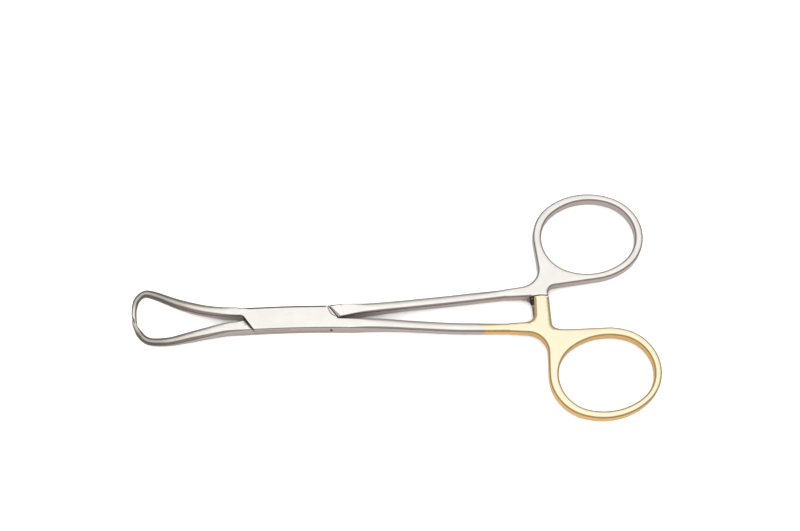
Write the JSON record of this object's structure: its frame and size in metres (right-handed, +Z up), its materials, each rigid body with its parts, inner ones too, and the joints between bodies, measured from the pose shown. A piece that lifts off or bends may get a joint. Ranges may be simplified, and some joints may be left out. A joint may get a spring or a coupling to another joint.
{
  "type": "towel clamp",
  "caption": "Slim ring-handled clamp whose two curved, pointed jaws meet in a closed loop to pin surgical drapes; box lock joint, finger rings and a toothed ratchet.",
  "frame": {"origin": "on the axis of the box lock's pin, in the plane of its lower face", "axes": "+X from the jaw points to the finger rings, +Y towards the ring of the half that passes through the box lock, +Z up along the pin, square to the flat faces; the clamp is closed"},
  "size_m": [0.1307, 0.061, 0.004],
  "materials": {
    "satin_steel": "satin ground stainless steel",
    "satin_steel_gilt_ring": "satin stainless steel, with the ring, web and ratchet bar gold plated",
    "pin_steel": "ground flush with the cheeks"
  },
  "bodies": {
    "slotted": {"slotted_half": "satin_steel_gilt_ring", "box_lock_pin": "pin_steel"},
    "through": {"through_half": "satin_steel"}
  },
  "joints": [
    {"name": "box_lock", "type": "hinge", "parent": "slotted", "child": "through", "pos_m": [0, 0, 0.002], "axis": [0, 0, 1], "range_deg": [0, 60]}
  ]
}
